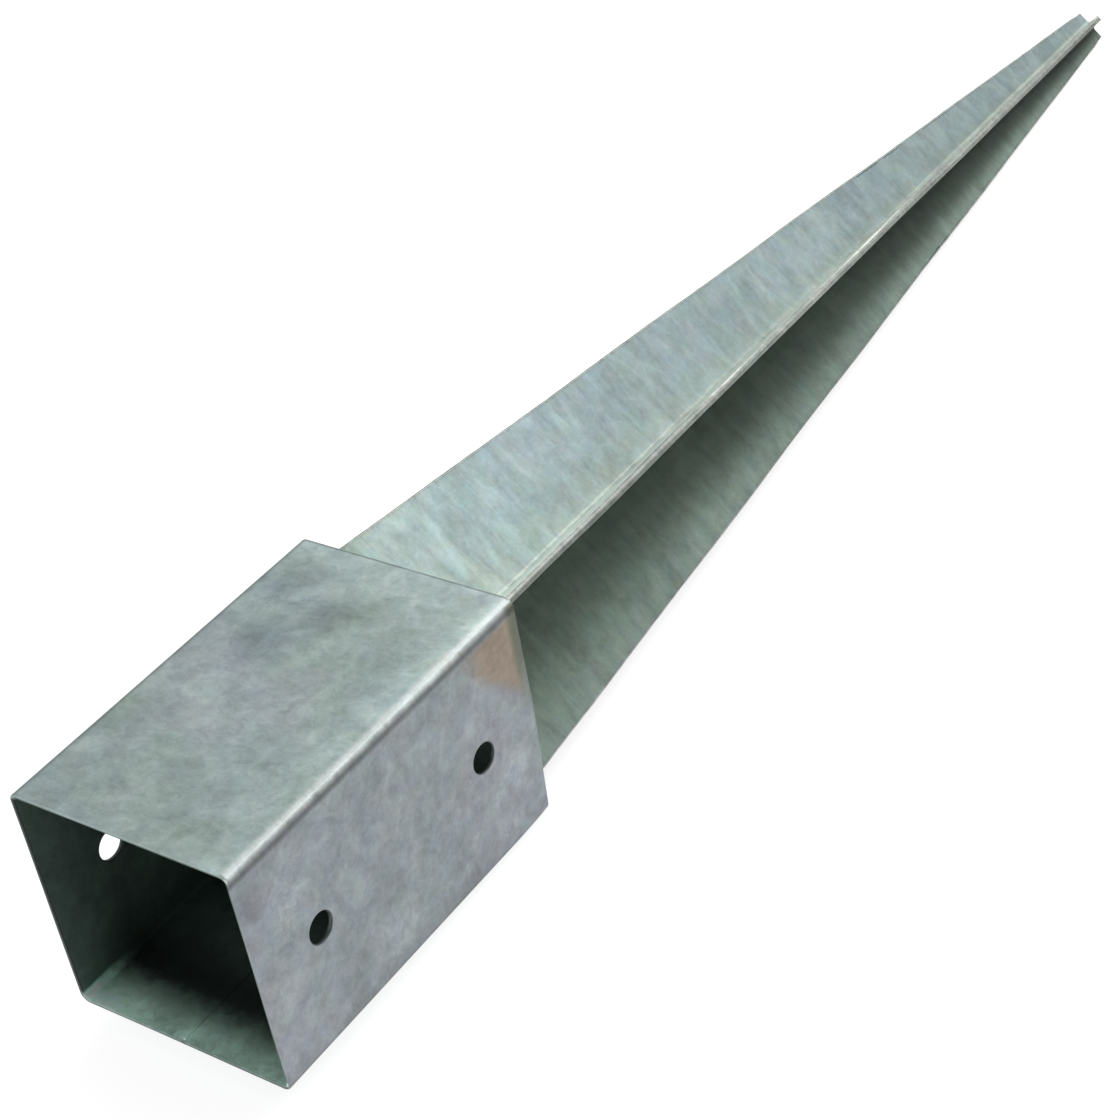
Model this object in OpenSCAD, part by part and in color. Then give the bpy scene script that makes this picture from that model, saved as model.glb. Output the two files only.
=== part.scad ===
// Drive-in post spike: a folded square socket for a timber post, closed by a
// base plate, on a tapered spike of cross-shaped section made of four folded
// sheets laid back to back.
//
// Working frame of the modules: the mouth of the socket is at y = 0, the point
// of the spike at y = total_len, the axis of the spike is x = z = 0.
// lie() then tips the whole thing into the attitude in which it lies at rest:
// on the lower back edge of the socket and on the two lower wing tips.

/* [Socket] */
// Outside width and height of the socket
socket_w = 100; // [60:1:150]
// Length of the socket, mouth to back edge
socket_len = 160; // [120:5:220]
// Thickness of the sheet of the socket
sheet = 2; // [1.5:0.5:3]
// Outside radius of the four bends
bend_r = 4; // [3.5:0.1:8]
// Width of the butt seam under the socket
seam_gap = 1.2; // [0.8:0.1:2]

/* [Holes] */
// Diameter of the screw holes
hole_d = 12; // [8:0.5:14]
// Distance of the holes from the mouth, and from the back edge
hole_inset = 32; // [20:1:45]
// Height of the holes above the middle of the side walls
hole_rise = 0; // [0:0.5:3]

/* [Base plate] */
// Thickness of the base plate
plate_t = 3; // [2:0.5:5]
// Distance of the back of the plate from the back edge of the socket
plate_recess = 3; // [2.5:0.5:5]
// Leg of the fillet weld round the plate
plate_weld = 1.8; // [1.2:0.1:2.4]

/* [Spike] */
// Length over all, from the mouth to the point
total_len = 750; // [600:10:900]
// Width of the spike at the back edge of the socket, as a part of the socket's
wing_root = 0.815; // [0.6:0.005:0.88]
// Width of the spike at its point, as a part of the socket's
wing_tip = 0.117; // [0.09:0.001:0.2]
// Thickness of the spike's sheets, which lie in pairs in each wing
wing_sheet = 1.5; // [1:0.5:3]
// Inside radius of the fold of each angle sheet
fold_r = 2; // [1.5:0.5:3]
// Leg of the fillet welds at the root of the wings
root_weld = 3; // [2:0.5:4]

/* [Wing edge welds] */
// Height of the closing weld above the wing edge
edge_weld_h = 0.6; // [0.3:0.1:0.8]
// Distance of its ends from the back edge of the socket and from the point
edge_weld_end = 5; // [3:1:30]

/* [Hidden] */
$fn = 64;

half = socket_w / 2;
inner_r = bend_r - sheet;                 // inside radius of the socket's bends
plate_back = socket_len - plate_recess;   // back face of the base plate
plate_front = plate_back - plate_t;       // the face that the post stands on
fold_o = fold_r + wing_sheet;             // outside radius of the angle folds
plate_leg = min(plate_weld, inner_r);      // the weld never outgrows the bends

// Half extent of the wings along x and z, at the back of the socket and at the
// point; along the diagonal, which is the wing itself, it is sqrt(2) times that.
root_e = wing_root * half;
tip_e = wing_tip * half;
// Rate at which the wing edge closes on the axis, per mm of length
taper = sqrt(2) * (root_e - tip_e) / (total_len - socket_len);
taper_deg = atan(taper);
// Distance of the wing edge from the axis, along the wing, at a given y
function wing_r(y) = sqrt(2) * tip_e + taper * (total_len - y);

// Attitude at rest: the lowest corner of a lower wing tip and the lower back
// edge of the socket are on one level.
tip_z = tip_e + wing_sheet / sqrt(2);
pitch = atan2(half - tip_z, total_len - socket_len);
low_y = -half * sin(pitch);
high_y = total_len * cos(pitch) + tip_z * sin(pitch);
floor_z = socket_len * sin(pitch) + half * cos(pitch);

steel = [0.62, 0.66, 0.65];
weld_steel = [0.55, 0.58, 0.57];

// Puts the working frame into the part's own frame, origin at the middle of
// the bounding box's underside.
module lie() {
    translate([0, -(low_y + high_y) / 2, floor_z])
        rotate([-pitch, 0, 0]) children();
}

// Turns a section drawn in x and z, and extruded upwards, to run along +y
// from the given station.
module along(y0, len) {
    translate([0, y0, 0]) rotate([-90, 0, 0]) linear_extrude(len) children();
}

// Square of side w with corners of radius r
module round_square(w, r) {
    square([w, w - 2 * r], center = true);
    square([w - 2 * r, w], center = true);
    for (sx = [-1, 1], sy = [-1, 1])
        translate([sx * (w / 2 - r), sy * (w / 2 - r)]) circle(r);
}

// The folded sheet of the socket. In the section, +y of the drawing is the
// underside of the socket, where the two ends of the sheet meet.
module socket() color(steel) lie() difference() {
    along(0, socket_len) difference() {
        round_square(socket_w, bend_r);
        round_square(socket_w - 2 * sheet, inner_r);
        translate([-seam_gap / 2, half - 2 * sheet]) square([seam_gap, 4 * sheet]);
    }
    for (y = [hole_inset, socket_len - hole_inset])
        translate([-socket_w, y, hole_rise]) rotate([0, 90, 0])
            cylinder(h = 2 * socket_w, d = hole_d);
}

// The post's stop, cut to the inside of the socket
module base_plate() color(steel) lie()
    along(plate_front, plate_t) round_square(socket_w - 2 * sheet, inner_r);

// Section of one angle sheet: two legs along the drawing's axes, joined by
// the fold. The legs are longer than needed and are trimmed to the taper.
module angle_section(reach) {
    translate([fold_o, 0]) square([reach - fold_o, wing_sheet]);
    translate([0, fold_o]) square([wing_sheet, reach - fold_o]);
    intersection() {
        square([fold_o, fold_o]);
        translate([fold_o, fold_o]) difference() {
            circle(fold_o);
            circle(fold_r);
        }
    }
}

// The strip of plane under the wing edge, as a slab that trims one leg. It is
// drawn in x and z of the angle sheet and extruded both ways across it.
module taper_slab(len) {
    w = 2 * socket_w;
    translate([0, w / 2, 0]) rotate([90, 0, 0]) linear_extrude(w)
        polygon([[-w, 0], [wing_r(plate_back), 0],
                 [wing_r(plate_back + len), len], [-w, len]]);
}

// One folded and tapered sheet. turn = 0, 1, 2, 3 is the top, the right, the
// bottom and the left sheet.
module spike_angle(turn) color(steel) lie() {
    len = total_len - plate_back;
    translate([0, plate_back, 0]) rotate([-90, 0, 0])
        rotate([0, 0, -135 + 90 * turn]) intersection() {
            linear_extrude(len) angle_section(wing_r(plate_back) + 5);
            taper_slab(len);
            rotate([0, 0, 90]) taper_slab(len);
        }
}

module spike_angle_top() spike_angle(0);
module spike_angle_right() spike_angle(1);
module spike_angle_bottom() spike_angle(2);
module spike_angle_left() spike_angle(3);

// Weld in the butt seam. It fills the seam from end to end, level with the
// sheet inside, and its crown stands a little proud under the socket. The crown
// stops short of both ends, so that the back edge still lies on the ground.
module socket_seam_weld() color(weld_steel) lie() {
    crown_w = 4.5;
    crown_h = 0.6;
    crown_r = (crown_w * crown_w / 4 + crown_h * crown_h) / (2 * crown_h);
    union() {
        along(0, socket_len)
            translate([-seam_gap / 2, half - sheet]) square([seam_gap, sheet]);
        along(3, socket_len - 15) intersection() {
            translate([0, half + crown_h - crown_r]) circle(crown_r);
            translate([-crown_w, half]) square([2 * crown_w, 2]);
        }
    }
}

// Section of a fillet weld, with its right angle at the corner of the joint
module fillet_section(leg) polygon([[0, 0], [leg, 0], [0, leg]]);

// Fillet all round the back of the base plate, in the lip of the socket
module base_plate_weld() color(weld_steel) lie() {
    inside = half - sheet;
    straight = 2 * (inside - inner_r);
    translate([0, plate_back, 0]) rotate([-90, 0, 0]) for (q = [0:3]) rotate([0, 0, 90 * q]) {
        translate([inside, straight / 2, 0]) rotate([90, 0, 0]) linear_extrude(straight)
            mirror([1, 0]) fillet_section(plate_leg);
        translate([inside - inner_r, inside - inner_r, 0]) rotate_extrude(angle = 90)
            translate([inner_r, 0]) mirror([1, 0]) fillet_section(plate_leg);
    }
}

// Two fillets in each of the four angles between the wings
module spike_root_welds() color(weld_steel) lie() {
    start = fold_o + root_weld;
    stop = wing_r(plate_back) - 4;
    translate([0, plate_back, 0]) rotate([-90, 0, 0]) for (q = [0:3]) rotate([0, 0, -135 + 90 * q]) {
        translate([start, wing_sheet, 0]) rotate([90, 0, 90]) linear_extrude(stop - start)
            fillet_section(root_weld);
        translate([wing_sheet, stop, 0]) rotate([90, 0, 0]) linear_extrude(stop - start)
            fillet_section(root_weld);
    }
}

// The weld that closes the joint between the two sheets of each wing, all along
// its outer edge: a low crown, as wide as the pair of sheets
module wing_edge_welds() color(weld_steel) lie() {
    crown_w = 2 * wing_sheet - 0.2;
    crown_r = (crown_w * crown_w / 4 + edge_weld_h * edge_weld_h) / (2 * edge_weld_h);
    first = socket_len + edge_weld_end;
    run = (total_len - edge_weld_end - first) / cos(taper_deg);
    for (q = [0:3])
        rotate([0, 45 + 90 * q, 0]) translate([wing_r(first), first, 0])
            rotate([0, 0, taper_deg]) rotate([-90, 0, 0]) linear_extrude(run)
                intersection() {
                    translate([edge_weld_h - crown_r, 0]) circle(crown_r);
                    translate([0, -crown_w]) square([2, 2 * crown_w]);
                }
}

socket();
base_plate();
spike_angle_top();
spike_angle_right();
spike_angle_bottom();
spike_angle_left();
socket_seam_weld();
base_plate_weld();
spike_root_welds();
wing_edge_welds();
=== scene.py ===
import math

import bmesh
import bpy
from mathutils import Matrix, Vector


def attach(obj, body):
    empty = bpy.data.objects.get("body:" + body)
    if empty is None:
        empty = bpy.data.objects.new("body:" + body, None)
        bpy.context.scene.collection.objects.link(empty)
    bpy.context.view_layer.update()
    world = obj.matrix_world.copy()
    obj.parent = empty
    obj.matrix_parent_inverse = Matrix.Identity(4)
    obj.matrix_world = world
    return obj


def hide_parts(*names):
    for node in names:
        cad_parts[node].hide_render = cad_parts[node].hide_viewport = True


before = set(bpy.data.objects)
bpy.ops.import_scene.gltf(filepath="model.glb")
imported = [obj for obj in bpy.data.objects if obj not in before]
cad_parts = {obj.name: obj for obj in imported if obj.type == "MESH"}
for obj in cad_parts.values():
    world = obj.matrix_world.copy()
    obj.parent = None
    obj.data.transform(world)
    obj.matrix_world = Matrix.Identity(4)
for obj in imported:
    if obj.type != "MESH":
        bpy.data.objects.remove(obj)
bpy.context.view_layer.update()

# ---------------------------------------------------------------- sizes, mm
HALF = 50.0                      # half width of the socket
SOCKET = 160.0                   # its length
SHEET = 2.0                      # the socket's sheet
WSHEET = 1.5                     # the spike's sheets, in pairs in each wing
FOLD = 2.0                       # inside radius of the spike sheets' folds
BEND = 4.0                       # outside radius of the socket's bends
LEN = 750.0                      # length over all
ROOT_E = 0.815 * HALF            # wing extent at the socket, along x and z
TIP_E = 0.117 * HALF             # the same at the point
TAPER = math.sqrt(2) * (ROOT_E - TIP_E) / (LEN - SOCKET)
TIP_Z = TIP_E + WSHEET / math.sqrt(2)
PITCH = math.atan2(HALF - TIP_Z, LEN - SOCKET)
PC, PS = math.cos(PITCH), math.sin(PITCH)
TY = -((-HALF * PS) + (LEN * PC + TIP_Z * PS)) / 2
TZ = SOCKET * PS + HALF * PC


def turn(v):
    """A direction of the working frame, in the frame of the object at rest."""
    return Vector((v[0], v[1] * PC + v[2] * PS, -v[1] * PS + v[2] * PC))


def place(v):
    """A point of the working frame in mm, in the frame at rest in metres."""
    return (turn(v) + Vector((0.0, TY, TZ))) / 1000.0


# ------------------------------------------------------------------- camera
CAM_R = ((0.817216, 0.556812, -0.148723),
         (0.226498, -0.547576, -0.805518),
         (-0.52996, 0.624596, -0.573605))
CAM_T = (-1.3958889539, 1.3043931139, 8.6437128112)
CAM_F = 2537.0078


def make_camera():
    centre = [-sum(CAM_R[k][i] * CAM_T[k] for k in range(3)) * 100.0 for i in range(3)]
    right, down, fwd = (turn(r).normalized() for r in CAM_R)
    back = -fwd
    up = back.cross(right).normalized()
    right = up.cross(back).normalized()
    cam = bpy.data.objects.new("camera", bpy.data.cameras.new("camera"))
    cam.data.sensor_width = 36.0
    cam.data.sensor_fit = "HORIZONTAL"
    cam.data.lens = CAM_F / 1120.0 * 36.0
    cam.data.clip_start = 0.05
    cam.data.clip_end = 50.0
    m = Matrix((right, up, back)).transposed().to_4x4()
    m.translation = place(centre)
    cam.matrix_world = m
    bpy.context.scene.collection.objects.link(cam)
    bpy.context.scene.camera = cam


make_camera()


# -------------------------------------------------------------------- nodes
class Net:
    """A small helper that builds a node tree."""

    def __init__(self, tree):
        self.t = tree
        tree.nodes.clear()

    def node(self, kind, **kw):
        n = self.t.nodes.new(kind)
        for k, v in kw.items():
            setattr(n, k, v)
        return n

    def put(self, sock, value):
        if isinstance(value, bpy.types.NodeSocket):
            self.t.links.new(value, sock)
        elif value is not None:
            if isinstance(value, (tuple, list)) and sock.type == "RGBA" and len(value) == 3:
                value = tuple(value) + (1.0,)
            sock.default_value = value

    def math(self, op, a, b=None, c=None, clamp=False):
        n = self.node("ShaderNodeMath", operation=op, use_clamp=clamp)
        self.put(n.inputs[0], a)
        self.put(n.inputs[1], b)
        self.put(n.inputs[2], c)
        return n.outputs[0]

    def add(self, a, b): return self.math("ADD", a, b)
    def sub(self, a, b): return self.math("SUBTRACT", a, b)
    def mul(self, a, b): return self.math("MULTIPLY", a, b)
    def mad(self, a, b, c): return self.math("MULTIPLY_ADD", a, b, c)
    def clamp(self, a): return self.math("ADD", a, 0.0, clamp=True)

    def vmath(self, op, a, b=None):
        n = self.node("ShaderNodeVectorMath", operation=op)
        self.put(n.inputs[0], a)
        self.put(n.inputs[1], b)
        return n.outputs["Value"] if op in ("DOT_PRODUCT", "LENGTH", "DISTANCE") else n.outputs[0]

    def vscale(self, a, s):
        n = self.node("ShaderNodeVectorMath", operation="SCALE")
        self.put(n.inputs[0], a)
        self.put(n.inputs["Scale"], s)
        return n.outputs[0]

    def step(self, x, lo, hi):
        """Smooth step of x from 0 at lo to 1 at hi; lo may be above hi."""
        n = self.node("ShaderNodeMapRange", interpolation_type="SMOOTHSTEP")
        self.put(n.inputs["Value"], x)
        if lo > hi:
            self.put(n.inputs["From Min"], hi)
            self.put(n.inputs["From Max"], lo)
            self.put(n.inputs["To Min"], 1.0)
            self.put(n.inputs["To Max"], 0.0)
        else:
            self.put(n.inputs["From Min"], lo)
            self.put(n.inputs["From Max"], hi)
        return n.outputs["Result"]

    def remap(self, x, a, b, c, d):
        n = self.node("ShaderNodeMapRange")
        self.put(n.inputs["Value"], x)
        for k, v in (("From Min", a), ("From Max", b), ("To Min", c), ("To Max", d)):
            self.put(n.inputs[k], v)
        return n.outputs["Result"]

    def noise(self, vec, scale, detail=2.0, rough=0.5, dist=0.0):
        n = self.node("ShaderNodeTexNoise")
        self.put(n.inputs["Vector"], vec)
        self.put(n.inputs["Scale"], scale)
        self.put(n.inputs["Detail"], detail)
        self.put(n.inputs["Roughness"], rough)
        self.put(n.inputs["Distortion"], dist)
        return n.outputs["Fac"]

    def voronoi(self, vec, scale, feature="F1", out="Distance", rand=1.0):
        n = self.node("ShaderNodeTexVoronoi", feature=feature)
        self.put(n.inputs["Vector"], vec)
        self.put(n.inputs["Scale"], scale)
        self.put(n.inputs["Randomness"], rand)
        return n.outputs[out]

    def mix(self, fac, a, b, blend="MIX"):
        n = self.node("ShaderNodeMix", data_type="RGBA", blend_type=blend)
        self.put(n.inputs["Factor"], fac)
        self.put(n.inputs[6], a)
        self.put(n.inputs[7], b)
        return n.outputs[2]

    def split(self, vec):
        n = self.node("ShaderNodeSeparateXYZ")
        self.put(n.inputs[0], vec)
        return n.outputs[0], n.outputs[1], n.outputs[2]

    def bump(self, height, strength, distance, normal=None):
        n = self.node("ShaderNodeBump")
        self.put(n.inputs["Height"], height)
        self.put(n.inputs["Strength"], strength)
        self.put(n.inputs["Distance"], distance)
        self.put(n.inputs["Normal"], normal)
        return n.outputs[0]


def galvanised(name, weld=False):
    """Hot-dip zinc on steel: clouded, faintly spangled, greenish to lavender
    grey, half matt. All patterns are fixed to the object, in mm of the working
    frame: x across, y from the mouth to the point, z up."""
    mat = bpy.data.materials.new(name)
    mat.use_nodes = True
    g = Net(mat.node_tree)
    out = g.node("ShaderNodeOutputMaterial")
    sh = g.node("ShaderNodeBsdfPrincipled")
    g.t.links.new(sh.outputs[0], out.inputs[0])
    tc = g.node("ShaderNodeTexCoord")
    mp = g.node("ShaderNodeMapping", vector_type="TEXTURE")
    g.put(mp.inputs["Vector"], tc.outputs["Object"])
    g.put(mp.inputs["Location"], (0.0, TY / 1000, TZ / 1000))
    g.put(mp.inputs["Rotation"], (-PITCH, 0.0, 0.0))
    g.put(mp.inputs["Scale"], (0.001, 0.001, 0.001))
    p = mp.outputs[0]
    x, y, z = g.split(p)
    ax, az = g.math("ABSOLUTE", x), g.math("ABSOLUTE", z)
    # depth under the outer face of the socket, in the flats and in the bends
    qx = g.math("MAXIMUM", g.sub(ax, HALF - BEND), 0.0)
    qz = g.math("MAXIMUM", g.sub(az, HALF - BEND), 0.0)
    under = g.sub(BEND, g.math("SQRT", g.mad(qx, qx, g.mul(qz, qz))))

    def shifted(a, b, c, sx=1.0, sy=1.0, sz=1.0):
        return g.vmath("ADD", g.vmath("MULTIPLY", p, (sx, sy, sz)), (a, b, c))

    def blob(centre, reach, lo=1.0, hi=0.0):
        """1 at the centre, 0 outside an ellipsoid of half axes reach."""
        q = g.vmath("DIVIDE", g.vmath("SUBTRACT", p, centre), reach)
        return g.step(g.vmath("LENGTH", q), lo, hi)

    # noise fields
    drift = g.noise(shifted(31, 7, 3), 0.017, 2.0, 0.5, 0.4)       # 60 mm
    drift2 = g.noise(shifted(-90, 40, 11), 0.026, 2.0, 0.5, 0.6)   # 40 mm
    cloud = g.noise(shifted(5, -20, 60), 0.075, 3.0, 0.55, 0.8)    # 13 mm
    wisp = g.noise(shifted(0, 0, 0, 0.55, 1.0, 0.55), 0.24, 3.0, 0.6, 1.2)
    grain = g.noise(p, 1.1, 2.0, 0.6)
    cell = g.split(g.voronoi(g.vmath("ADD", p, (0.0, 0.0, 0.0)), 0.17, "F1", "Color"))[0]
    streak = g.noise(shifted(0, 13, 0, 0.16, 1.0, 0.16), 0.42, 3.0, 0.6, 0.5)
    smear = g.noise(shifted(9, -31, 4, 0.32, 1.0, 0.32), 0.15, 3.0, 0.5, 0.7)

    on_wing = g.step(y, 158.0, 163.0)
    right = g.mul(g.step(x, 48.6, 49.7), g.step(y, 161.0, 160.2))
    top = g.mul(g.step(z, 48.6, 49.7), g.step(y, 161.0, 160.2))

    # hue: greenish, bluish and lavender greys
    green, blue, violet = (0.300, 0.372, 0.346), (0.298, 0.364, 0.380), (0.340, 0.368, 0.402)
    hue = g.clamp(g.mad(g.sub(drift2, 0.5), 3.2, 0.42))
    colour = g.mix(hue, green, blue)
    # violet: patches at random, and over the whole right face a painted reflection of a bluish floor
    lav = g.clamp(g.mad(right, 0.75, g.mul(g.step(drift, 0.52, 0.66), 0.5)))
    colour = g.mix(lav, colour, violet)
    colour = g.mix(g.mul(g.step(cloud, 0.52, 0.66), 0.30), colour, (0.37, 0.43, 0.415))

    # the same at the scale of a few millimetres
    mott = g.noise(shifted(44, -9, 17), 0.16, 4.0, 0.62, 0.5)
    fleck = g.noise(shifted(-12, 81, 29), 0.5, 3.0, 0.6, 0.4)
    warm = g.noise(shifted(70, 3, -41), 0.11, 4.0, 0.6, 0.6)
    cool = g.noise(shifted(-3, 55, 90), 0.13, 4.0, 0.6, 0.6)
    # the upper space between the wings, and the other three, which get painted shade below
    open_top = g.step(g.sub(z, ax), 0.0, 0.5)
    face_a = g.mul(on_wing, open_top)
    shaded_vees = g.mul(on_wing, g.sub(1.0, open_top))
    tint = g.node("ShaderNodeCombineXYZ")
    k = g.mad(on_wing, 0.22, g.mad(right, 0.12, 0.14))
    g.put(tint.inputs[0], g.mad(g.sub(warm, 0.5), k, 1.0))
    g.put(tint.inputs[1], 1.0)
    g.put(tint.inputs[2], g.mad(g.sub(cool, 0.5), k, 1.0))

    # brightness
    v = g.mad(g.sub(cloud, 0.5), 0.50, 1.0)
    v = g.mad(g.sub(drift, 0.5), 0.35, v)
    v = g.mad(g.sub(mott, 0.5), 0.42, v)
    v = g.mad(g.mul(g.add(g.sub(mott, 0.5), g.sub(cloud, 0.5)), right), 0.26, v)
    v = g.mad(g.sub(fleck, 0.5), 0.30, v)
    v = g.mad(g.sub(wisp, 0.5), 0.34, v)
    v = g.mad(g.sub(cell, 0.5), 0.05, v)
    v = g.mad(g.sub(grain, 0.5), 0.20, v)
    v = g.mad(g.mul(g.sub(streak, 0.5), face_a), 0.27, v)
    v = g.mad(g.mul(g.sub(smear, 0.5), on_wing), 0.75, v)
    v = g.mad(g.mul(g.sub(streak, 0.5), shaded_vees), 0.20, v)

    def shade_by(mask, amount):
        """Darkens by a part amount of the brightness, or lightens below 0."""
        return g.mul(v, g.sub(1.0, g.mul(mask, amount)))

    # the single faces: painted light on the top, lighter towards the rear and towards the upper right bend, widening
    # its highlight; then patches of tone
    v = shade_by(g.mul(top, g.step(y, 125.0, 158.0)), -0.30)
    v = shade_by(g.mul(top, g.mul(g.step(x, 28.0, 45.0), g.step(y, 156.0, 138.0))), -0.22)
    v = shade_by(g.mul(top, g.mul(g.step(x, 40.0, 45.5), g.step(y, 100.0, 140.0))), -0.26)
    v = shade_by(blob((-29.0, 51.0, 50.0), (20.0, 24.0, 12.0), 1.0, 0.2), 0.10)
    v = shade_by(blob((-22.0, 102.0, 50.0), (22.0, 22.0, 12.0), 1.0, 0.2), 0.13)
    v = shade_by(blob((-6.0, 124.0, 50.0), (15.0, 14.0, 12.0), 1.0, 0.2), 0.20)
    v = shade_by(blob((-31.0, 137.0, 50.0), (16.0, 16.0, 12.0), 1.0, 0.2), 0.13)
    v = shade_by(blob((28.0, 52.0, 50.0), (28.0, 30.0, 12.0), 1.0, 0.2), -0.07)
    v = shade_by(blob((50.0, 6.0, 34.0), (8.0, 9.0, 14.0), 1.0, 0.2), 0.20)
    v = shade_by(blob((50.0, 14.0, -6.0), (8.0, 14.0, 14.0), 1.0, 0.2), -0.10)
    v = shade_by(blob((50.0, 30.0, 30.0), (8.0, 20.0, 14.0), 1.0, 0.2), -0.12)
    v = shade_by(blob((50.0, 143.0, -16.0), (8.0, 14.0, 14.0), 1.0, 0.2), -0.20)
    v = shade_by(blob((50.0, 68.0, -31.0), (8.0, 22.0, 14.0), 1.0, 0.2), -0.22)
    v = shade_by(blob((43.0, 102.0, 50.0), (10.0, 26.0, 12.0), 1.0, 0.2), -0.12)
    # painted shade: the right face darker as a whole; then darker along its lowest band
    v = shade_by(right, 0.20)
    v = shade_by(g.mul(right, g.step(g.mad(g.sub(cloud, 0.5), 9.0, z), -39.0, -45.0)), 0.12)
    # painted shade: a dark line along the top's rear edge, where it meets the upper wing
    sheet_end = g.mul(g.step(y, 158.6, 159.4), g.step(z, 49.0, 49.6))
    v = shade_by(g.mul(sheet_end, g.step(y, 161.0, 160.5)), 0.45)
    # the bends: a painted highlight along the upper right one, its peak dimmed,
    # and a band of painted shade on the right face under it; the others darker
    bend = g.sub(x, z)
    on_box = g.step(y, 161.0, 160.2)
    line = g.mul(g.step(bend, 2.0, 3.5), g.step(bend, 6.2, 3.9))
    line = g.mul(line, g.mul(g.step(x, 45.0, 48.0), on_box))
    v = shade_by(line, 0.47)
    glow = g.mul(g.step(bend, -1.4, 0.5), g.step(bend, 2.8, 0.8))
    v = shade_by(g.mul(glow, g.mul(g.step(g.add(x, z), 95.0, 96.0), on_box)), -0.98)
    corner = g.mul(g.step(g.add(ax, az), 95.8, 97.2), on_box)
    first_bend = g.mul(g.step(x, -5.0, 5.0), g.step(z, -5.0, 5.0))
    v = shade_by(g.mul(corner, g.sub(1.0, first_bend)), 0.30)
    highlight_bend = g.mul(corner, first_bend)
    # painted shade dims the peak of the upper right bend's highlight
    v = shade_by(g.mul(highlight_bend, g.step(bend, 1.0, 0.1)), g.mad(g.step(y, 105.0, 145.0), 0.06, 0.20))

    # the wings, with painted light and shade: the spaces between them, apart from
    # the upper one, are painted darker towards the folds and tinted green; the edges carry painted highlights
    reach = g.mad(y, -TAPER, math.sqrt(2) * TIP_E + TAPER * LEN)
    span = g.mul(g.add(ax, az), 0.70711)
    part = g.math("DIVIDE", span, reach)
    # painted shade: the upper space darker towards the point, and near the root on its left
    v = shade_by(face_a, g.mad(g.step(y, 180.0, 330.0), 0.22, g.mad(g.step(y, 380.0, 640.0), 0.08, 0.04)))
    v = shade_by(g.mul(face_a, g.mul(g.step(y, 205.0, 165.0), g.step(x, -14.0, -30.0))), 0.16)
    # painted shade of the wing above: the other spaces darker towards their folds, most on the right side and
    # towards the point
    valley = g.mul(shaded_vees, g.step(g.mad(g.sub(cloud, 0.5), 0.12, part), 0.95, 0.34))
    v = shade_by(valley, g.mad(g.step(part, 0.04, 0.22), 0.29, 0.34))
    v = shade_by(g.mul(shaded_vees, g.step(x, 0.0, 3.0)), 0.44)
    deep_shade = g.mul(g.step(part, 0.95, 0.45), g.step(y, 180.0, 380.0))
    deep_shade = g.mul(deep_shade, g.step(y, 770.0, 720.0))
    v = shade_by(g.mul(g.mul(shaded_vees, g.step(x, 0.0, 3.0)), deep_shade), g.mad(g.step(y, 380.0, 560.0), 0.12, 0.33))
    v = shade_by(g.mul(g.mul(shaded_vees, g.step(x, 0.0, 3.0)), g.step(y, 640.0, 730.0)), 0.24)
    # painted shade dims the highlight at the upper space's fold; painted light brightens the upper right wing's face
    # beside it
    fold = g.mul(face_a, g.step(part, 0.50, 0.12))
    v = shade_by(g.mul(fold, g.step(x, 0.2, -1.2)), g.mad(g.step(y, 330.0, 520.0), 0.06, 0.12))
    hollow = g.mul(face_a, g.step(g.math("ABSOLUTE", g.add(x, 0.5)), 1.2, 0.3))
    v = shade_by(hollow, g.mad(g.step(y, 400.0, 520.0), 0.12, 0.30))
    steep = g.mul(face_a, g.step(g.sub(z, x), 6.0, 3.4))
    steep = g.mul(steep, g.mul(g.step(x, -1.6, 0.0), g.step(part, 1.003, 0.998)))
    v = g.mul(v, g.mad(steep, g.mad(g.step(y, 330.0, 520.0), 0.14, 1.35), 1.0))
    below = g.mul(shaded_vees, g.step(part, 1.0, 0.97))
    # painted highlights on the edge welds' crowns, with painted light and shade across the upper right one
    crest = g.mul(on_wing, g.step(g.mul(g.sub(part, 1.0), reach), -0.35, -0.05))
    upper = g.mul(crest, g.step(z, -1.0, 1.0))
    v = shade_by(g.mul(crest, g.step(z, 1.0, -1.0)), -0.45)
    v = shade_by(g.mul(g.mul(upper, g.step(x, 1.0, -1.0)), g.step(g.add(x, z), 1.2, -0.8)), -0.75)
    across = g.mad(g.step(y, 230.0, 340.0), 0.08, -0.30)
    across = g.mad(g.step(bend, -0.9, 0.5), g.mad(g.step(y, 230.0, 400.0), 0.30, 0.36), across)
    across = g.mad(g.step(bend, 1.2, 2.5), -0.26, across)
    v = g.mul(v, g.mad(g.mul(upper, g.step(x, -1.0, 1.0)), across, 1.0))
    colour = g.mix(g.mul(below, 0.8), colour, (0.262, 0.352, 0.290))
    colour = g.mix(g.mul(valley, 0.6), colour, (0.225, 0.340, 0.235))
    colour = g.mix(g.mul(face_a, 0.6), colour, (0.286, 0.372, 0.383))
    colour = g.mix(g.mul(face_a, g.mul(g.step(y, 240.0, 180.0), 0.5)), colour, (0.312, 0.382, 0.345))
    colour = g.mix(g.mul(face_a, g.mul(g.step(y, 470.0, 680.0), 0.2)), colour, (0.280, 0.372, 0.355))
    colour = g.mix(g.mul(fold, 0.6), colour, (0.320, 0.385, 0.345))
    # cream tint that goes with the painted light on the upper right wing's face and the crowns
    colour = g.mix(g.mul(g.add(steep, crest), 0.6), colour, (0.375, 0.395, 0.340))
    # the upper right bend's painted highlight tinted neutral
    colour = g.mix(g.mul(highlight_bend, 0.75), colour, (0.345, 0.365, 0.360))
    colour = g.vmath("MULTIPLY", colour, tint.outputs[0])

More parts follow.
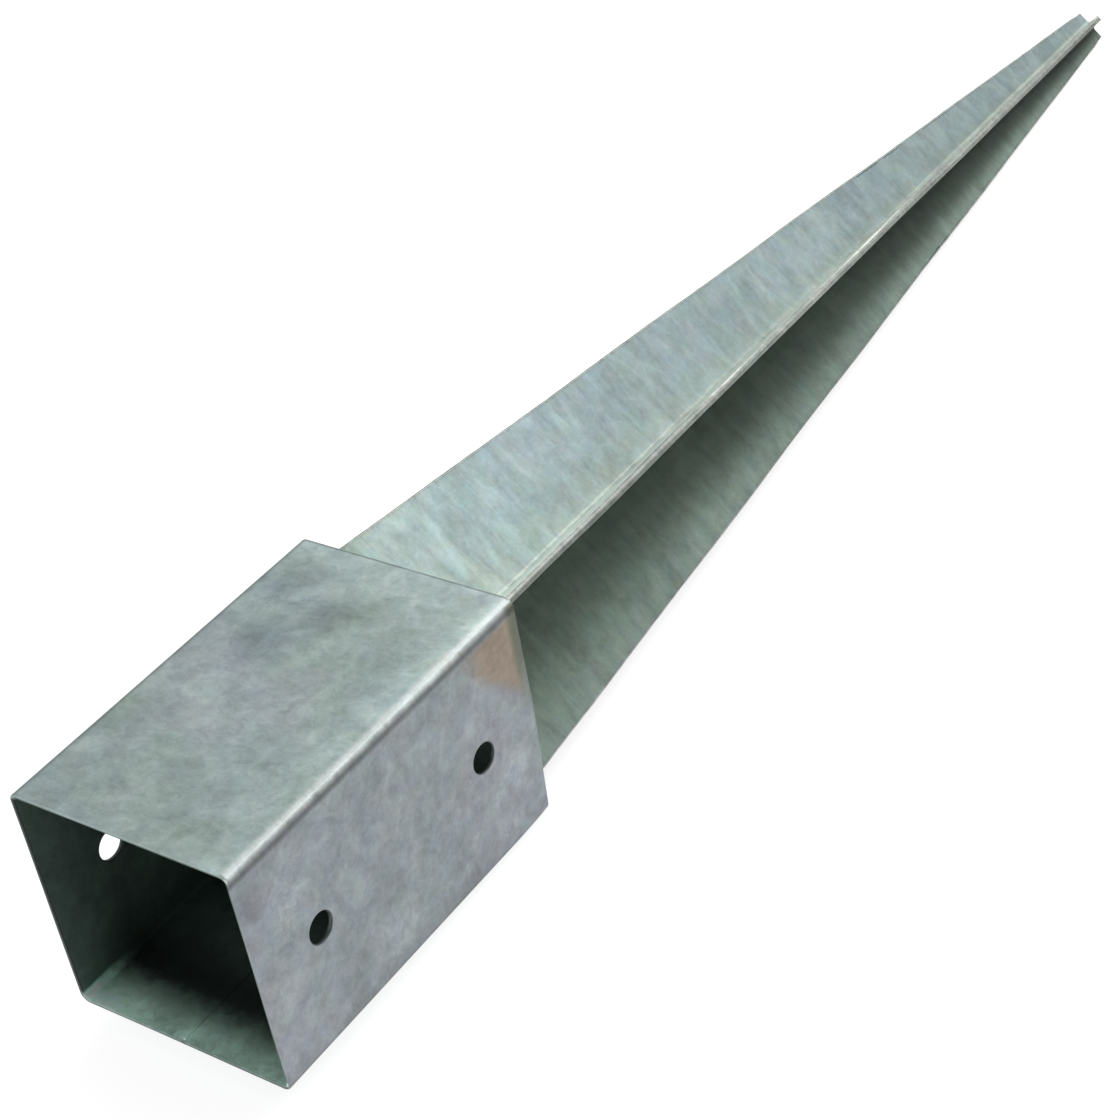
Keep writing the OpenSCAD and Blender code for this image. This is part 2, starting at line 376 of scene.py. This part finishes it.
    # the brownish scorched patch above and behind the rear right hole
    wob = g.mul(g.sub(mott, 0.5), 8.0)
    patch = g.mul(g.step(g.add(y, wob), 121.0, 141.0), g.step(y, 158.5, 154.5))
    patch = g.mul(patch, g.step(g.mad(y, 0.9, g.mad(wob, 0.9, z)), 146.0, 156.0))
    patch = g.mul(g.mul(patch, g.step(z, 46.0, 43.0)), g.mul(right, 0.80))
    colour = g.mix(patch, colour, (0.374, 0.287, 0.204))

    # olive strip along the right side's rear edge, rough specks by its hole
    strip = g.mul(g.mul(right, g.step(y, 152.8, 157.2)), g.step(z, -6.0, 32.0))
    v = shade_by(strip, 0.42)
    colour = g.mix(g.mul(strip, 0.85), colour, (0.270, 0.290, 0.200))
    spots = g.step(g.noise(p, 0.38, 3.0, 0.7, 0.8), 0.47, 0.62)
    specks = g.mul(blob((50.0, 19.0, 19.0), (6.0, 13.0, 19.0)), spots)
    v = g.mad(specks, 0.26, v)

    # inside: painted shade, apart from a painted pool of light on the first centimetres of the lower wall
    inner = g.mul(g.step(under, 0.8, 1.4), g.step(y, 155.0, 154.2))
    low = g.step(z, -45.0, -47.4)
    depth = g.sub(y, g.mad(x, -0.03, 13.6))
    lit = g.step(g.add(depth, g.mul(g.sub(mott, 0.5), 12.0)), 9.5, -12.0)
    lit = g.mul(lit, g.mad(g.sub(mott, 0.5), 0.9, g.mad(g.step(x, -15.0, -40.0), 0.26, 0.84)))
    deep = g.step(y, 55.0, 120.0)
    middle = g.mul(g.step(y, 26.0, 56.0), g.step(y, 84.0, 62.0))
    f_low = g.mad(lit, 2.8, g.mad(middle, 0.42, g.mad(deep, 0.4, 0.12)))
    f_wall = g.mad(g.step(y, 70.0, 5.0), 0.30, g.mad(middle, 0.50, g.mad(deep, 0.30, 0.16)))
    # painted highlight along the lower left inner bend near the mouth
    in_bend = g.mul(g.mul(g.step(g.add(ax, az), 92.6, 94.0), g.step(x, 0.0, -5.0)), g.step(z, 0.0, -5.0))
    f_low = g.mad(g.mul(in_bend, g.step(y, 32.0, 8.0)), 1.0, f_low)
    f_wall = g.mad(g.mul(in_bend, g.step(y, 32.0, 8.0)), 1.0, f_wall)
    f_in = g.add(g.mul(low, f_low), g.mul(g.sub(1.0, low), f_wall))
    shade = g.add(g.mul(inner, f_in), g.sub(1.0, inner))
    # painted shade on the mouth's front edges, apart from the right and upper walls'
    rim = g.mul(g.step(y, 0.55, 0.2), g.mul(g.step(x, 48.4, 47.9), g.step(z, 47.9, 47.2)))
    rim = g.mul(rim, g.mad(g.step(z, -44.0, -47.0), -0.20, 0.85))
    shade = g.mul(shade, g.sub(1.0, rim))
    colour = g.mix(g.mul(inner, 0.75), colour, (0.215, 0.335, 0.275))
    # walls of the holes: painted shade
    for yc in (32.0, 128.0):
        r = g.math("SQRT", g.add(g.mul(g.sub(y, yc), g.sub(y, yc)), g.mul(z, z)))
        shade = g.mul(shade, g.sub(1.0, g.mul(g.mul(g.step(r, 6.6, 6.1), g.step(ax, 47.0, 47.4)), 0.7)))

    if weld:
        v = g.mad(g.sub(g.noise(p, 0.55, 3.0, 0.6), 0.5), 0.35, v)
        colour = g.mix(g.mad(inner, -0.35, 0.35), colour, (0.42, 0.44, 0.405))
    g.put(sh.inputs["Base Color"], g.vscale(colour, g.mul(v, shade)))
    sh.inputs["Metallic"].default_value = 0.74
    rough = g.mad(g.sub(cloud, 0.5), 0.22, 0.46)
    rough = g.mad(g.sub(wisp, 0.5), 0.16, rough)
    rough = g.mad(g.sub(cell, 0.5), 0.06, rough)
    rough = g.mad(specks, 0.12, rough)
    rough = g.mad(g.add(patch, inner), 0.12, rough)
    g.put(sh.inputs["Roughness"], rough)
    h = g.mad(g.sub(grain, 0.5), 0.020, 0.0)
    h = g.mad(wisp, 0.045, h)
    h = g.mad(cloud, 0.10, h)
    h = g.mad(specks, 0.07, h)
    if weld:
        h = g.mad(g.noise(p, 0.9, 2.0, 0.6), 0.06, h)
    g.put(sh.inputs["Normal"], g.bump(h, 0.55, 0.001))
    return mat


zinc = galvanised("galvanised_sheet_steel")
weld_zinc = galvanised("galvanised_weld_metal", weld=True)

# ------------------------------------------------------------ mesh building
EDGE = 0.35                      # radius of the cut edges of the sheet


def lin(a, b, n):
    return [a + (b - a) * i / n for i in range(n + 1)]


def chain(*parts):
    """Lists joined end to end; the shared end values are kept once."""
    out = list(parts[0])
    for p in parts[1:]:
        out += list(p)[1:]
    return out


def wing_r(y):
    return math.sqrt(2) * TIP_E + TAPER * (LEN - y)


def bow(x, y, z):
    """The slight waviness of pressed and dipped sheet, one field for all pieces
    so that what touches still touches. Zero where the part rests."""
    hold = 1 - math.exp(-((y - 160) / 45) ** 2) - math.exp(-((y - 750) / 60) ** 2)
    tau = 2 * math.pi
    if y < 175:
        k = max(0.0, min(1.0, (175 - y) / 30))
        fx = math.cos(math.pi * max(-50, min(50, z)) / 100)
        fz = math.cos(math.pi * max(-50, min(50, x)) / 100)
        bx = k * fx * (0.34 * math.sin(tau * (y + 18) / 176 + 0.6 * x / 50) + 0.10 * math.sin(tau * y / 61 + z / 19))
        bz = k * fz * (0.30 * math.sin(tau * (y + 50) / 190 + 0.9 * z / 50) - 0.10 * math.sin(tau * y / 57 + x / 17))
    else:
        bx = bz = 0.0
    r = math.hypot(x, z) / 58.0
    if y > 150:
        k = min(1.0, (y - 150) / 60)
        bx += k * 0.26 * r * math.sin(tau * y / 143 + 1.3 + z / 26)
        bz += k * 0.22 * r * math.sin(tau * y / 121 + 0.2 - x / 31)
        bx += k * 0.30 * math.sin(math.pi * (y - 150) / 600) * math.sin(tau * y / 590)
    # the rear lower right corner of the socket is knocked in a little
    near = max(0.0, min(1.0, (x - 43) / 6))
    near *= near * (3 - 2 * near) * max(0.0, min(1.0, -z / 50))
    near *= max(0.0, min(1.0, (y - 134) / 26)) ** 2 if y < 161 else 0.0
    return Vector((x + bx * hold - 0.7 * near, y - 1.9 * near, z + bz * hold))


class Piece:
    def __init__(self):
        self.v = []
        self.f = []

    def vert(self, p):
        self.v.append(p)
        return len(self.v) - 1

    def face(self, *ids):
        ids = [k for n, k in enumerate(ids) if k != ids[n - 1]]
        if len(ids) > 2:
            self.f.append(ids)

    def band(self, a, b, closed=True):
        n = len(a)
        for k in range(n if closed else n - 1):
            self.face(a[k], a[(k + 1) % n], b[(k + 1) % n], b[k])

    def make(self, name, nodes, material):
        me = bpy.data.meshes.new(name)
        me.from_pydata([place(bow(*p)) for p in self.v], [], self.f)
        bm = bmesh.new()
        bm.from_mesh(me)
        bmesh.ops.recalc_face_normals(bm, faces=bm.faces)
        for f in bm.faces:
            f.smooth = True
        bm.to_mesh(me)
        bm.free()
        me.materials.append(material)
        obj = bpy.data.objects.new(name, me)
        bpy.context.scene.collection.objects.link(obj)
        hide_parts(*nodes)
        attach(obj, "root")
        return obj


def slab(piece, us, vs, surf, thick, holes=()):
    """A sheet with rounded cut edges. us and vs are the stations along and
    across it, surf(u, v, depth, du, dv) gives the point at a depth below the
    outer face. holes are (first u, last u, first v, last v, centre u,
    centre v, radius) with the first four as indices of the grid lines that
    bound the square block round each hole."""
    n, m = len(us) - 1, len(vs) - 1
    steps = [math.radians(a) for a in (0, 30, 60, 90)]
    levels = [(-EDGE * (1 - math.sin(a)), EDGE * (1 - math.cos(a))) for a in steps]
    levels += [(o, thick - d) for o, d in reversed(levels)]

    def side(i, j):
        return ((-1 if i == 0 else 1 if i == n else 0), (-1 if j == 0 else 1 if j == m else 0))

    def inside(i, j):
        return any(a < i < b and c < j < d for a, b, c, d, *_ in holes)

    grids = []
    for depth, (off, _) in ((0.0, levels[0]), (thick, levels[-1])):
        g = {}
        for i in range(n + 1):
            for j in range(m + 1):
                if inside(i, j):
                    continue
                su, sv = side(i, j)
                g[i, j] = piece.vert(surf(us[i], vs[j], depth, su * off, sv * off))
        for i in range(n):
            for j in range(m):
                if any(a <= i < b and c <= j < d for a, b, c, d, *_ in holes):
                    continue
                piece.face(g[i, j], g[i + 1, j], g[i + 1, j + 1], g[i, j + 1])
        grids.append(g)
    rim = [(i, 0) for i in range(n)] + [(n, j) for j in range(m)] \
        + [(i, m) for i in range(n, 0, -1)] + [(0, j) for j in range(m, 0, -1)]
    last = [grids[0][k] for k in rim]
    for off, depth in levels[1:-1]:
        loop = []
        for i, j in rim:
            su, sv = side(i, j)
            loop.append(piece.vert(surf(us[i], vs[j], depth, su * off, sv * off)))
        piece.band(last, loop)
        last = loop
    piece.band(last, [grids[1][k] for k in rim])

    for a, b, c, d, uc, vc, rad in holes:
        block = [(i, c) for i in range(a, b)] + [(b, j) for j in range(c, d)] \
            + [(i, d) for i in range(b, a, -1)] + [(a, j) for j in range(d, c, -1)]
        angles = [math.atan2(vs[j] - vc, us[i] - uc) for i, j in block]
        re = 0.5

        def ring(radius, depth, w=1.0):
            out = []
            for (i, j), t in zip(block, angles):
                u = uc + radius * math.cos(t)
                v = vc + radius * math.sin(t)
                out.append(piece.vert(surf(us[i] + (u - us[i]) * w, vs[j] + (v - vs[j]) * w, depth, 0, 0)))
            return out

        loops = [[grids[0][k] for k in block]]
        loops += [ring(rad + re, 0.0, w) for w in (0.3, 0.6, 0.82, 0.94, 1.0)]
        arc = [math.radians(t) for t in (22.5, 45, 67.5, 90)]
        loops += [ring(rad + re * (1 - math.sin(t)), re * (1 - math.cos(t))) for t in arc]
        loops += [ring(rad + re * (1 - math.sin(t)), thick - re * (1 - math.cos(t))) for t in reversed(arc)]
        loops += [ring(rad + re, thick, w) for w in (1.0, 0.94, 0.82, 0.6, 0.3)]
        loops += [[grids[1][k] for k in block]]
        for p, q in zip(loops, loops[1:]):
            piece.band(p, q)


def sweep(piece, sections, ring=False):
    """Skin over closed sections, with closed ends unless it is a ring."""
    loops = [[piece.vert(p) for p in s] for s in sections]
    for a, b in zip(loops, loops[1:]):
        piece.band(a, b)
    if ring:
        piece.band(loops[-1], loops[0])
    else:
        for s, loop in ((sections[0], loops[0]), (sections[-1], loops[-1])):
            c = piece.vert(tuple(sum(q[k] for q in s) / len(s) for k in range(3)))
            for k in range(len(loop)):
                piece.face(loop[k], loop[(k + 1) % len(loop)], c)


def ripple(t):
    """Height of solidified weld pool edges along a bead, -1 to 1, with a steep
    back and a long slope in front."""
    t = t - math.floor(t)
    return 1 - 2 * (t / 0.72) ** 1.3 if t < 0.72 else -1 + 2 * ((t - 0.72) / 0.28) ** 1.5


def sway(t, seed):
    return 0.55 * math.sin(t * 0.61 + seed) + 0.3 * math.sin(t * 1.47 + 2.1 * seed) + 0.15 * math.sin(t * 3.3 + 0.7 * seed)


# ------------------------------------------------------------------- socket
def make_socket():
    q = BEND * math.pi / 2
    flat = HALF - BEND
    gap = 0.6
    lines = [  # start x, z, direction, outward normal, length
        (gap, -HALF, (1, 0), (0, -1), flat - gap),
        (HALF, -flat, (0, 1), (1, 0), 2 * flat),
        (flat, HALF, (-1, 0), (0, 1), 2 * flat),
        (-HALF, flat, (0, -1), (-1, 0), 2 * flat),
        (-flat, -HALF, (1, 0), (0, -1), flat - gap),
    ]
    centres = [(flat, -flat, -90), (flat, flat, 0), (-flat, flat, 90), (-flat, -flat, 180)]
    spans, us, u0 = [], [], 0.0
    for k, (sx, sz, d, nrm, ln) in enumerate(lines):
        spans.append((u0, u0 + ln, "line", k))
        if k in (0, 4):
            part = chain([0, 0.9], lin(0.9, ln - 0.8, 18), [ln - 0.8, ln]) if k == 0 else \
                chain([0, 0.8], lin(0.8, ln - 0.9, 18), [ln - 0.9, ln])
        elif k == 2:
            part = chain([0, 0.8], lin(0.8, ln - 0.8, 37), [ln - 0.8, ln])
        else:
            part = chain([0, 0.8], lin(0.8, flat - 12, 14), lin(flat - 12, flat + 12, 12),
                         lin(flat + 12, ln - 0.8, 14), [ln - 0.8, ln])
        part = [u0 + t for t in part]
        us = part if not us else chain(us, part)
        u0 += ln
        if k < 4:
            spans.append((u0, u0 + q, "arc", k))
            us = chain(us, lin(u0, u0 + q, 10))
            u0 += q
    vs = chain([0, 0.9], lin(0.9, 20, 8), lin(20, 44, 12), lin(44, 116, 29), lin(116, 140, 12),
               lin(140, 159.1, 8), [159.1, 160])

    def surf(u, v, d, du, dv):
        u += du
        for a, b, kind, k in spans:
            if u <= b + 1e-6 or k == 4:
                break
        if kind == "line":
            sx, sz, dr, nrm, ln = lines[k]
            t = u - a
            x, z = sx + dr[0] * t - nrm[0] * d, sz + dr[1] * t - nrm[1] * d
        else:
            cx, cz, a0 = centres[k]
            t = math.radians(a0 + 90 * (u - a) / q)
            x, z = cx + (BEND - d) * math.cos(t), cz + (BEND - d) * math.sin(t)
        return (x, v + dv, z)

    def near(vals, x):
        return min(range(len(vals)), key=lambda k: abs(vals[k] - x))

    holes = []
    for k in (1, 3):
        mid = [s for s in spans if s[2] == "line" and s[3] == k][0][0] + flat
        for y in (32, 128):
            holes.append((near(us, mid - 12), near(us, mid + 12), near(vs, y - 12), near(vs, y + 12), mid, y, 6.0))
    p = Piece()
    slab(p, us, vs, surf, SHEET, holes)
    return p.make("socket_folded_sheet", ["socket"], zinc)


def make_base_plate():
    p = Piece()
    inner, r = HALF - SHEET, BEND - SHEET
    outline = []
    for k, (cx, cz) in enumerate(((1, -1), (1, 1), (-1, 1), (-1, -1))):
        a0 = -90 + 90 * k
        for s in range(9):
            t = math.radians(a0 + 90 * s / 8)
            outline.append((cx * (inner - r) + r * math.cos(t), cz * (inner - r) + r * math.sin(t)))
        nx = outline[-1]
        ox, oz = ((1, 1), (-1, 1), (-1, -1), (1, -1))[k]
        ex = (ox * (inner - r) + r * math.cos(math.radians(a0 + 90)), oz * (inner - r) + r * math.sin(math.radians(a0 + 90)))
        for s in range(1, 24):
            outline.append((nx[0] + (ex[0] - nx[0]) * s / 24, nx[1] + (ex[1] - nx[1]) * s / 24))

    def loop(scale, y, inset=0.0):
        out = []
        for x, z in outline:
            k = scale * (1 - inset / inner)
            out.append(p.vert((x * k, y, z * k)))
        return out

    front, back = 154.0, 157.0
    e = 0.3
    rings = [loop(s, front) for s in (0.02, 0.12, 0.25, 0.4, 0.55, 0.7, 0.83, 0.93, 0.98)]
    rings += [loop(1, front, e)]
    rings += [loop(1, front + e * (1 - math.cos(t)), e * (1 - math.sin(t))) for t in (0.52, 1.05, 1.57)]
    rings += [loop(1, back - e * (1 - math.cos(t)), e * (1 - math.sin(t))) for t in (1.57, 1.05, 0.52)]
    rings += [loop(1, back, e)]
    rings += [loop(s, back) for s in (0.98, 0.93, 0.83, 0.7, 0.55, 0.4, 0.25, 0.12, 0.02)]
    for a, b in zip(rings, rings[1:]):
        p.band(a, b)
    for y, ring in ((front, rings[0]), (back, rings[-1])):
        c = p.vert((0, y, 0))
        for k in range(len(ring)):
            p.face(ring[k], ring[(k + 1) % len(ring)], c)
    return p.make("base_plate_stop", ["base_plate"], zinc)


def local(turn_no, x, y, l):
    """Point of an angle sheet's own section at a distance l along the spike."""
    phi = math.radians(-135 + 90 * turn_no)
    c, s = math.cos(phi), math.sin(phi)
    return (x * c - y * s, l, -x * s - y * c)


def make_angle(side, turn_no):
    fo = FOLD + WSHEET                     # outside radius of the fold
    us = [("x", f) for f in (1.0, 0.985, 0.95)] + [("x", f) for f in lin(0.9, 0.0, 18)[:-1]] + [("x", 0.0)]
    us += [("f", a) for a in lin(0, 90, 10)[1:-1]]
    us += [("y", 0.0)] + [("y", f) for f in lin(0.0, 0.9, 18)[1:]] + [("y", f) for f in (0.95, 0.985, 1.0)]
    vs = chain([157, 158], lin(158, 745, 130), [745, 748, 749.2, 750])

    def surf(u, v, d, du, dv):
        y = v + dv
        kind, f = u
        if kind == "f":
            t = math.radians(270 - f)
            return local(turn_no, fo + (fo - d) * math.cos(t), fo + (fo - d) * math.sin(t), y)
        r = fo + (wing_r(y) - fo) * f
        if kind == "x":
            return local(turn_no, r - du, d, y)
        return local(turn_no, d, r + du, y)

    p = Piece()
    slab(p, us, vs, surf, WSHEET)
    return p.make("spike_sheet_" + side, ["spike_angle_" + side], zinc)


# -------------------------------------------------------------------- welds
def make_seam_weld():
    """A fill as thick as the sheet from end to end, with a rippled crown under
    it that stops short of both ends."""
    p = Piece()
    sections = []
    y0, y1 = 3.2, 147.8
    for y in chain([0.1, 1.6], lin(1.6, y0, 3), lin(y0, y1, 360), lin(y1, 158.4, 8), [158.4, 159.9]):
        end = max(0.0, min(1.0, (y - y0) / 3.0, (y1 - y) / 3.0))
        grow = math.sqrt(max(0.0, 1 - (1 - end) ** 2))
        w = 0.56 + grow * (1.6 + 0.16 * sway(y * 0.5, 1.7))
        h = 0.02 + (0.50 + 0.05 * sway(y * 0.4, 0.4)) * grow
        cx = 0.12 * sway(y * 0.23, 3.1) * grow
        s = []
        for t in lin(-1, 1, 14):
            prof = (1 - t * t) ** 0.8 if abs(t) < 1 else 0.0
            rip = 1 + 0.20 * ripple((y - 1.3 * t * t) / 1.7)
            s.append((cx + w * t, y, -HALF + 0.04 - h * prof * rip))
        s += [(0.58, y, -HALF + 0.3), (0.56, y, -HALF + SHEET + 0.03), (0.0, y, -HALF + SHEET + 0.09),
              (-0.56, y, -HALF + SHEET + 0.03), (-0.58, y, -HALF + 0.3)]
        sections.append(s)
    sweep(p, sections)
    return p.make("socket_seam_weld_bead", ["socket_seam_weld"], weld_zinc)


def fillet(corner, along_wall, along_plate, leg, s, seed, grow=1.0, pitch=1.6):
    """Section of a fillet bead. corner is the joint's corner, the two
    directions are unit vectors away from it."""
    a = leg * (0.93 + 0.05 * sway(s * 0.7, seed)) * grow
    b = leg * (0.93 + 0.05 * sway(s * 0.6, seed + 2)) * grow
    out = []
    sink = 0.05
    c = [corner[k] - (along_wall[k] + along_plate[k]) * sink for k in range(3)]
    out.append(tuple(c))
    for t in lin(0, 1, 10):
        bulge = 0.16 * leg * grow * 4 * t * (1 - t)
        rip = 0.05 * leg * grow * ripple((s - 1.6 * (t - 0.5) ** 2 * leg) / pitch) * math.sin(math.pi * t)
        k = (bulge + rip) * 0.7071
        pa, pb = a * (1 - t) + k, b * t + k
        out.append(tuple(corner[q] + along_wall[q] * pa + along_plate[q] * pb
                         - (along_plate[q] * sink if t == 0 else 0) - (along_wall[q] * sink if t == 1 else 0)
                         for q in range(3)))
    return out


def make_plate_weld():
    p = Piece()
    inner, r, leg = HALF - SHEET, BEND - SHEET, 1.8
    stations = []
    s = 0.0
    for k in range(4):
        a0 = 90 * k
        d = (-math.sin(math.radians(a0)), math.cos(math.radians(a0)))
        o = (math.cos(math.radians(a0)), math.sin(math.radians(a0)))
        for t in lin(-(inner - r), inner - r, 170)[:-1]:
            stations.append((o[0] * inner + d[0] * t, o[1] * inner + d[1] * t, o, s + t + inner - r))
        s += 2 * (inner - r)
        for t in lin(0, 90, 8)[:-1]:
            a = math.radians(a0 + t)
            n = (math.cos(a), math.sin(a))
            cx, cz = (o[0] + d[0]) * (inner - r), (o[1] + d[1]) * (inner - r)
            stations.append((cx + n[0] * r, cz + n[1] * r, n, s + r * math.radians(t)))
        s += r * math.pi / 2
    total = s
    sections = []
    for x, z, n, s in stations:
        s2 = s / total * round(total / 1.6) * 1.6
        sections.append(fillet((x, 157.0, z), (0, 1, 0), (-n[0], 0, -n[1]), leg, s2, 0.9))
    sweep(p, sections, ring=True)
    return p.make("base_plate_weld_bead", ["base_plate_weld"], weld_zinc)


def make_root_welds():
    p = Piece()
    start, stop, leg = FOLD + WSHEET + 3.0, wing_r(157) - 4, 3.0
    for q in range(4):
        for flip in (0, 1):
            sections = []
            for k, t in enumerate(lin(start, stop, 104)):
                end = min(1.0, (t - start) / 2.5, (stop - t) / 2.5)
                grow = 0.25 + 0.75 * math.sqrt(max(0.0, 1 - (1 - end) ** 2))
                if flip:
                    c = local(q, WSHEET, t, 157.0)
                    w = local(q, WSHEET + 1, t, 157.0)
                else:
                    c = local(q, t, WSHEET, 157.0)
                    w = local(q, t, WSHEET + 1, 157.0)
                plate_dir = tuple(w[i] - c[i] for i in range(3))
                sections.append(fillet(c, (0, 1, 0), plate_dir, leg, t, 1.3 * q + 5.1 * flip, grow, 1.9))
            sweep(p, sections)
    return p.make("spike_root_weld_beads", ["spike_root_welds"], weld_zinc)


def make_edge_welds():
    """The weld that closes each wing's outer edge: a low crown over both
    sheets, ground and dipped, so that only a slow unevenness is left."""
    p = Piece()
    first, last = 165.2, 744.8
    tilt = math.atan(TAPER)
    for q in range(4):
        a = math.radians(45 + 90 * q)
        # the wing's direction in x and z, and the direction across it
        wx, wz = math.cos(a), -math.sin(a)
        nx, nz = -wz, wx
        sections = []
        for y in chain([first], lin(first + 0.4, first + 4, 8), lin(first + 4, last - 4, 300), lin(last - 4, last - 0.4, 8), [last]):
            end = min(1.0, (y - first) / 4, (last - y) / 4)
            grow = math.sqrt(max(0.0, 1 - (1 - end) ** 2))
            seed = 1.9 * q
            w = WSHEET + 0.13 * grow + 0.03 * sway(y * 0.17, seed + 4)
            h = 0.50 * (0.15 + 0.85 * grow) * (1 + 0.10 * sway(y * 0.21, seed) + 0.05 * sway(y * 0.9, seed + 1))
            pts = []
            for t in lin(-100, 100, 18):
                t = math.radians(t)
                rip = 1 + 0.03 * ripple((y - 0.8 * math.sin(t) ** 2 + seed) / 2.3)
                pts.append((w * math.sin(t), (h + 0.40) * math.cos(t) * rip - 0.40))
            pts += [(0.7 * WSHEET, -0.80), (-0.7 * WSHEET, -0.80)]
            sec = []
            for across, up in pts:
                sec.append((wx * (wing_r(y) + up / math.cos(tilt)) + nx * across, y,
                            wz * (wing_r(y) + up / math.cos(tilt)) + nz * across))
            sections.append(sec)
        sweep(p, sections)
    return p.make("wing_edge_weld_beads", ["wing_edge_welds"], weld_zinc)


make_socket()
make_base_plate()
for number, side in enumerate(("top", "right", "bottom", "left")):
    make_angle(side, number)
make_seam_weld()
make_plate_weld()
make_root_welds()
make_edge_welds()


# ------------------------------------------------------------ floor, lights
def make_floor():
    me = bpy.data.meshes.new("floor")
    me.from_pydata([(-30, -30, 0), (30, -30, 0), (30, 30, 0), (-30, 30, 0)], [], [(0, 1, 2, 3)])
    floor = bpy.data.objects.new("floor", me)
    bpy.context.scene.collection.objects.link(floor)
    mat = bpy.data.materials.new("floor_pale")
    mat.use_nodes = True
    g = Net(mat.node_tree)
    out = g.node("ShaderNodeOutputMaterial")
    sh = g.node("ShaderNodeBsdfPrincipled")
    g.t.links.new(sh.outputs[0], out.inputs[0])
    sh.inputs["Base Color"].default_value = (0.32, 0.32, 0.32, 1)
    sh.inputs["Roughness"].default_value = 0.9
    sh.inputs["Specular IOR Level"].default_value = 0.1
    sh.inputs["Emission Color"].default_value = (1.0, 1.0, 1.0, 1)
    sh.inputs["Emission Strength"].default_value = 0.80
    me.materials.append(mat)


make_floor()


def make_world():
    w = bpy.data.worlds.new("studio")
    bpy.context.scene.world = w
    w.use_nodes = True
    g = Net(w.node_tree)
    out = g.node("ShaderNodeOutputWorld")
    bg = g.node("ShaderNodeBackground")
    g.t.links.new(bg.outputs[0], out.inputs[0])
    d = g.node("ShaderNodeTexCoord").outputs["Generated"]
    x, y, z = g.split(d)
    total = g.remap(z, 0.0, 1.0, 0.10, 0.30)
    # a long soft light overhead and behind: its right edge lies where z = x
    side = g.step(g.sub(z, x), -0.22, 0.06)
    strip = g.mul(side, g.step(x, -0.70, -0.05))
    strip = g.mul(strip, g.step(y, -0.35, 0.45))
    total = g.mad(strip, 2.0, total)

    def lobe(direction, lo, hi, gain, base):
        v = Vector(direction).normalized()
        k = g.step(g.vmath("DOT_PRODUCT", d, tuple(v)), lo, hi)
        return g.mad(k, gain, base)

    # its brightest part, towards the right and the back
    total = g.add(total, g.mul(side, lobe((0.46, 0.62, 0.63), 0.86, 0.97, 1.5, 0.0)))
    total = lobe((-0.85, 0.10, 0.50), 0.5, 0.95, 0.25, total)    # left
    total = lobe((-0.45, -0.75, 0.50), 0.6, 0.95, 0.80, total)   # front left
    g.put(bg.inputs["Strength"], total)
    bg.inputs["Color"].default_value = (1.0, 1.0, 1.0, 1)


make_world()


bpy.context.scene.view_settings.view_transform = "Standard"
bpy.context.scene.view_settings.look = "None"
